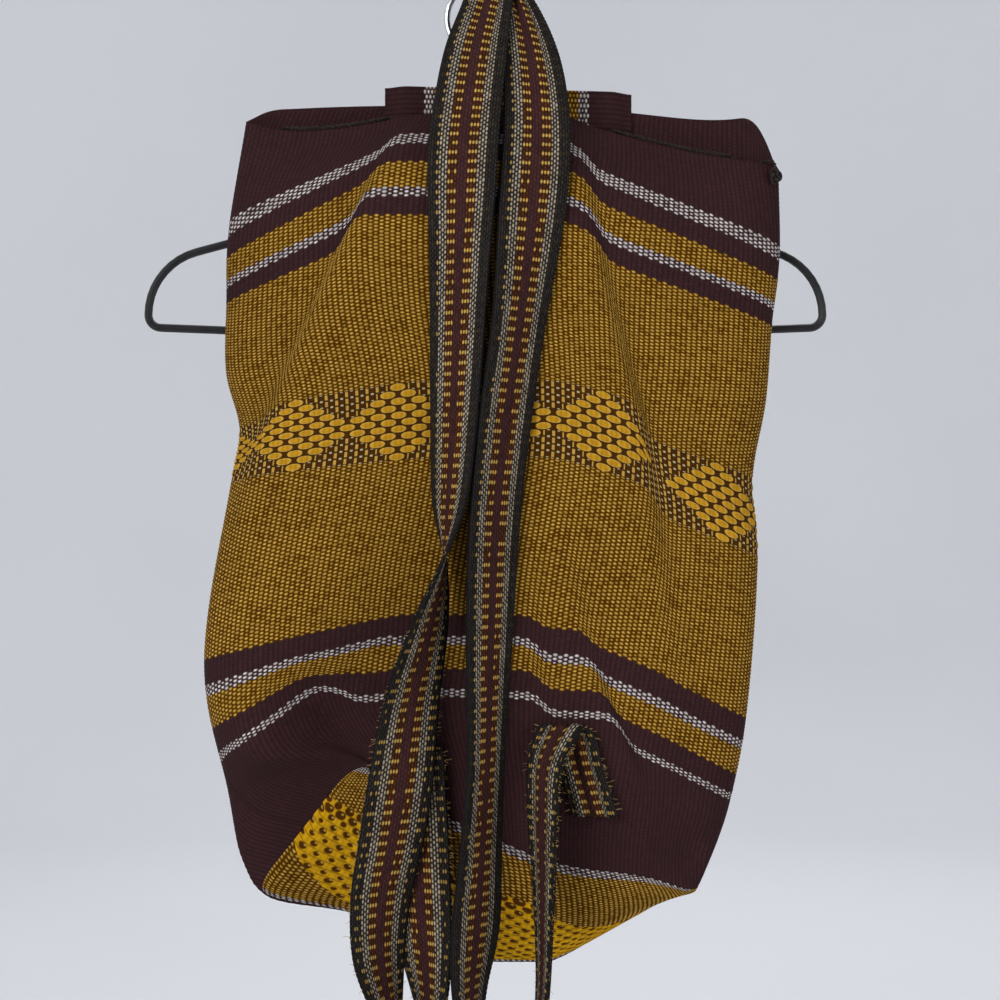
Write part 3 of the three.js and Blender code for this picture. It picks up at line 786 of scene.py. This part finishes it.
def even_tube(first_around, ends, picks):
    """A wall's middle points, with ends evenly spaced along each pick."""
    downs = np.linspace(0, WALL_DOWN, picks + 1)
    tries = np.linspace(0, 1, 6 * ends + 1)
    fine = tube(first_around + np.clip(tries, 1e-6, 1 - 1e-6)[None, :], downs[:, None])
    rows = []
    for line in fine:
        run = lengths(line)
        wanted = np.linspace(0, run[-1], ends + 1)
        rows.append(np.stack([np.interp(wanted, run, line[:, k]) for k in range(3)], axis=-1))
    return np.array(rows)


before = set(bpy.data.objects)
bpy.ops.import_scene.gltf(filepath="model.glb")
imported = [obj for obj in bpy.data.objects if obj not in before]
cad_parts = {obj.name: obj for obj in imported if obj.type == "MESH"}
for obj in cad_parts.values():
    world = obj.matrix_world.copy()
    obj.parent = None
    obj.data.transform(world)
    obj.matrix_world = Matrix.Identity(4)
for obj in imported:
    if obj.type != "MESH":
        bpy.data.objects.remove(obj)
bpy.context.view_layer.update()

# The bag's walls and base
wall_cloth = cloth_material("wall_cloth", WALL_PICKS, WALL_STRIPES, diamonds, WALL_FLOATS)
base_cloth = cloth_material("base_cloth", BASE_PICKS, BASE_STRIPES, speckles, BASE_FLOATS_WITH_ROW_SHADE)
tab_cloth = cloth_material("tab_cloth", TAB_PICKS, TAB_STRIPES)
wall_relief = brocaded(WALL_ENDS, WALL_PICKS, WALL_STRIPES, diamonds)
base_relief = brocaded(BASE_ENDS, BASE_PICKS, BASE_STRIPES, speckles)
for name, node, first_around in (("near_wall", "back_panel", 0.0), ("far_wall", "front_panel", 1.0)):
    surface = even_tube(first_around, WALL_ENDS, WALL_PICKS)
    wall = wall_of(name, surface, wall_relief, WALL_ENDS, WALL_PICKS, wall_cloth)
    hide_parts(node)

deep, across = np.meshgrid(np.linspace(0, 1, BASE_PICKS + 1), np.linspace(0, 1, BASE_ENDS + 1), indexing="ij")
bottom = wall_of("base", base(across, deep), base_relief, BASE_ENDS, BASE_PICKS, base_cloth)
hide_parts("base_panel")

# The tab's cloth is turned, so that its picks run along its length
*_, tab_relief = crowns(TAB_PICKS, TAB_ENDS)
along = np.linspace(0, 1, TAB_PICKS + 1)[:, None]
up = np.linspace(0, 1, TAB_ENDS + 1)[None, :]
from_end = np.minimum(along, 1 - along) * TAB_WIDTH / TAB_END
ease = np.clip(from_end, 0, 1) ** 2 * (3 - 2 * np.clip(from_end, 0, 1))
tab_x = TAB_MIDDLE_X + (along - 0.5) * TAB_WIDTH + 0 * up
rim_y = LEVELS[0, LEVEL_COLUMNS.index("farY")]
tab_y = rim_y - CLOTH - TAB_GAP - TAB_STAND_OFF * ease + 0 * up
tab_z = TAB_TOP_Z + TAB_TILT * (along - 0.5) - (1 - up) * TAB_HEIGHT
tab = wall_of("tab", np.stack([tab_x, tab_y, tab_z], axis=-1), tab_relief.T, TAB_ENDS, TAB_PICKS, tab_cloth)
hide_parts("strap_tab")


def across_line(line):
    """Two unit directions across a line at each of its points."""
    ahead = np.gradient(line, axis=0)
    ahead /= np.linalg.norm(ahead, axis=1, keepdims=True)
    side = np.cross(ahead, [0.0, 1.0, 0.13])
    side /= np.linalg.norm(side, axis=1, keepdims=True)
    return side, np.cross(ahead, side)


def strands(name, lines, radius, sides, material):
    """Round strands along lines of points, as one mesh."""
    points = []
    faces = []
    angles = np.linspace(0, 2 * np.pi, sides, endpoint=False)
    for line in lines:
        side, other = across_line(line)
        ring = (np.cos(angles)[None, :, None] * side[:, None, :]
                + np.sin(angles)[None, :, None] * other[:, None, :])
        index = len(points) + np.arange(len(line) * sides).reshape(len(line), sides)
        points += ((line[:, None, :] + radius * ring).reshape(-1, 3) * MM).tolist()
        faces += ring_faces(index)
        faces.append(index[0, ::-1].tolist())
        faces.append(index[-1].tolist())
    mesh = bpy.data.meshes.new(name)
    mesh.from_pydata(points, [], faces)
    mesh.shade_smooth()
    return dressed(name, mesh, material)


def loose_ends(name, edges, outward, material):
    """Short loose ends of yarn along a band's two edges."""
    chance = np.random.default_rng(len(edges))
    lines = []
    t = np.linspace(0, 1, 4)[:, None]
    for _ in range(LOOSE_COUNT):
        at = chance.integers(len(edges))
        column = chance.choice([0, -1])
        away = outward[at] * (1 if column else -1)
        tip = (away + chance.normal(0, LOOSE_SPREAD, 3)) * chance.uniform(*LOOSE_REACH)
        curl = chance.normal(0, LOOSE_CURL, 3)
        root = away * LOOSE_ROOT
        lines.append(edges[at, column] - root + t * (tip + root) + t * (1 - t) * curl)
    strands(name, lines, LOOSE_RADIUS, 3, material)


def strap(name, node, rows, fringe_from):
    """A woven band along its table of places."""
    last = len(rows) - 1
    tries = np.linspace(0, last, 60 * last + 1)
    run = lengths(curve(rows[:, :3], tries))
    picks = 2 * int(run[-1] / STRAP_PICK / 2)
    at = np.interp(np.linspace(0, run[-1], picks + 1), run, tries)
    keys = np.arange(last + 1, dtype=float)
    width = between(keys, rows[:, 3], at)
    turn = np.radians(between(keys, rows[:, 4], at))
    sideways = np.stack([np.cos(turn), np.sin(turn), 0 * turn], axis=-1)
    end_widths = np.concatenate([[wide] * ends for _, ends, wide in STRAP_COLUMNS])
    places = np.concatenate([[0], np.cumsum(end_widths)]) / end_widths.sum() - 0.5
    middle = curve(rows[:, :3], at)
    surface = middle[:, None, :] + places[None, :, None] * width[:, None, None] * sideways[:, None, :]
    gathered = np.sqrt(np.maximum(0, 1 - (width / STRAP_WIDTH) ** 2))
    pleats = GATHER_DEPTH * gathered[:, None] * np.sin(places[None, :] * 2 * GATHERS * np.pi)
    surface = surface + normals(surface) * pleats[..., None]
    *_, relief = crowns(STRAP_ENDS, picks, STRAP_CREST)
    cloth = strap_material(name + "_cloth", fringe_from)
    made = wall_of(name, surface, relief, STRAP_ENDS, picks, cloth)
    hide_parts(node)
    fringe = slice(fringe_from, -2)
    loose_ends(name + "_loose_ends", surface[fringe], sideways[fringe], loose_yarn)


# The straps
loose_yarn = plain_material("loose_yarn", colour(120, 98, 58), colour(176, 150, 96), 400.0, 0.85, shine=0.06)
strap("left_strap", "strap_left", STRAP_LEFT, fringe_from=330)
strap("right_strap", "strap_right", STRAP_RIGHT, fringe_from=520)

# The drawstring is two strands twisted together, with a knot at its end
cord_yarn = plain_material("cord_yarn", colour(27, 22, 21), colour(52, 44, 41), 900.0, 0.85, shine=0.06)
rim_around, inward, lift = DRAWSTRING.T
route = tube(rim_around, 0.0) + np.stack([0 * inward, inward, lift], axis=-1)
tries = np.linspace(0, len(route) - 1, 4000)
fine = curve(route, tries)
run = lengths(fine)
stops = np.linspace(0, run[-1], int(run[-1] / CORD_STEP))
line = np.stack([np.interp(stops, run, fine[:, k]) for k in range(3)], axis=-1)
side, other = across_line(line)
twist = 2 * np.pi * stops / CORD_TWIST
for number in range(2):
    turn = twist + number * np.pi
    away = np.cos(turn)[:, None] * side + np.sin(turn)[:, None] * other
    strand = line + STRAND_OFFSET * away
    made = strands(f"drawstring_strand_{number + 1}", [strand], STRAND_RADIUS, 6, cord_yarn)
    if number == 0:
        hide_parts("drawstring")
angle = np.linspace(0, 2 * np.pi, 160)
bulge = KNOT_RADIUS * np.cos(3 * angle)
knot_x = (2.0 + bulge) * np.cos(2 * angle)
knot_y = 1.5 * np.sin(3 * angle)
knot_z = (2.4 + bulge) * np.sin(2 * angle) * 1.3
knot = np.stack([knot_x, knot_y, knot_z - KNOT_DROP], axis=-1) + line[-1]
strands("drawstring_knot", [knot], KNOT_RADIUS, 8, cord_yarn)

# The hanger keeps its solids
coat = plain_material("black_coat", colour(16, 16, 17), colour(26, 26, 28), 60.0, 0.36, shine=0.22)
steel = plain_material("hook_steel", colour(150, 153, 156), colour(196, 199, 202), 90.0, 0.2, metallic=1.0)
for node, material in (("hanger_frame", coat), ("hanger_hook", steel)):
    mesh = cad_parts[node].data
    mesh.materials.clear()
    mesh.materials.append(material)
    mesh.shade_smooth()

# A round pale studio, open at the top
STUDIO_RADIUS = 4.5
STUDIO_FILLET = 1.4
STUDIO_HEIGHT = 3.2
STUDIO_FLOOR = -1.05
STUDIO_SPOKES = 72
bend = np.linspace(0, math.pi / 2, 13)
profile = [(0.02, STUDIO_FLOOR), (1.5, STUDIO_FLOOR)]
profile += [(STUDIO_RADIUS - STUDIO_FILLET + STUDIO_FILLET * math.sin(a),
             STUDIO_FLOOR + STUDIO_FILLET * (1 - math.cos(a))) for a in bend]
profile.append((STUDIO_RADIUS, STUDIO_HEIGHT))
turns = np.linspace(0, 2 * np.pi, STUDIO_SPOKES, endpoint=False)
points = [(r * math.cos(t), r * math.sin(t), z) for r, z in profile for t in turns]
index = np.arange(len(points)).reshape(len(profile), STUDIO_SPOKES)
faces = ring_faces(index)
faces.append(index[0, ::-1].tolist())
mesh = bpy.data.meshes.new("studio")
mesh.from_pydata(points, [], faces)
mesh.shade_smooth()
studio = bpy.data.objects.new("studio", mesh)
bpy.context.scene.collection.objects.link(studio)
mesh.materials.append(plain_material("studio_paper", colour(220, 221, 224), colour(225, 226, 229), 0.6, 0.8))

world = bpy.data.worlds.new("studio_light")
bpy.context.scene.world = world
world.use_nodes = True
sky = world.node_tree.nodes["Background"]
sky.inputs["Color"].default_value = (0.95, 0.97, 1.0, 1.0)
sky.inputs["Strength"].default_value = 0.76


def lamp(name, place, target, width, power):
    """A soft square light."""
    data = bpy.data.lights.new(name, "AREA")
    data.size = width
    data.energy = power
    made = bpy.data.objects.new(name, data)
    made.location = place
    made.rotation_mode = "QUATERNION"
    made.rotation_quaternion = (Vector(target) - Vector(place)).to_track_quat("-Z", "Y")
    bpy.context.scene.collection.objects.link(made)


# Soft light from the left, less from the right and some from behind
middle = (0.0, 0.0, -0.32)
lamp("key", (-1.6, -2.5, 0.5), middle, 1.6, 60)
lamp("fill", (2.2, -2.0, -0.3), middle, 1.8, 26)
lamp("back", (0.6, 2.6, 1.4), middle, 1.8, 24)

# The camera stands level in front of the bag
camera_data = bpy.data.cameras.new("camera")
camera_data.lens = 70.15
camera = bpy.data.objects.new("camera", camera_data)
camera.location = (0.009, -1.2, -0.318)
camera.rotation_euler = (math.pi / 2, 0, 0)
bpy.context.scene.collection.objects.link(camera)
bpy.context.scene.camera = camera
bpy.context.scene.view_settings.view_transform = "Standard"
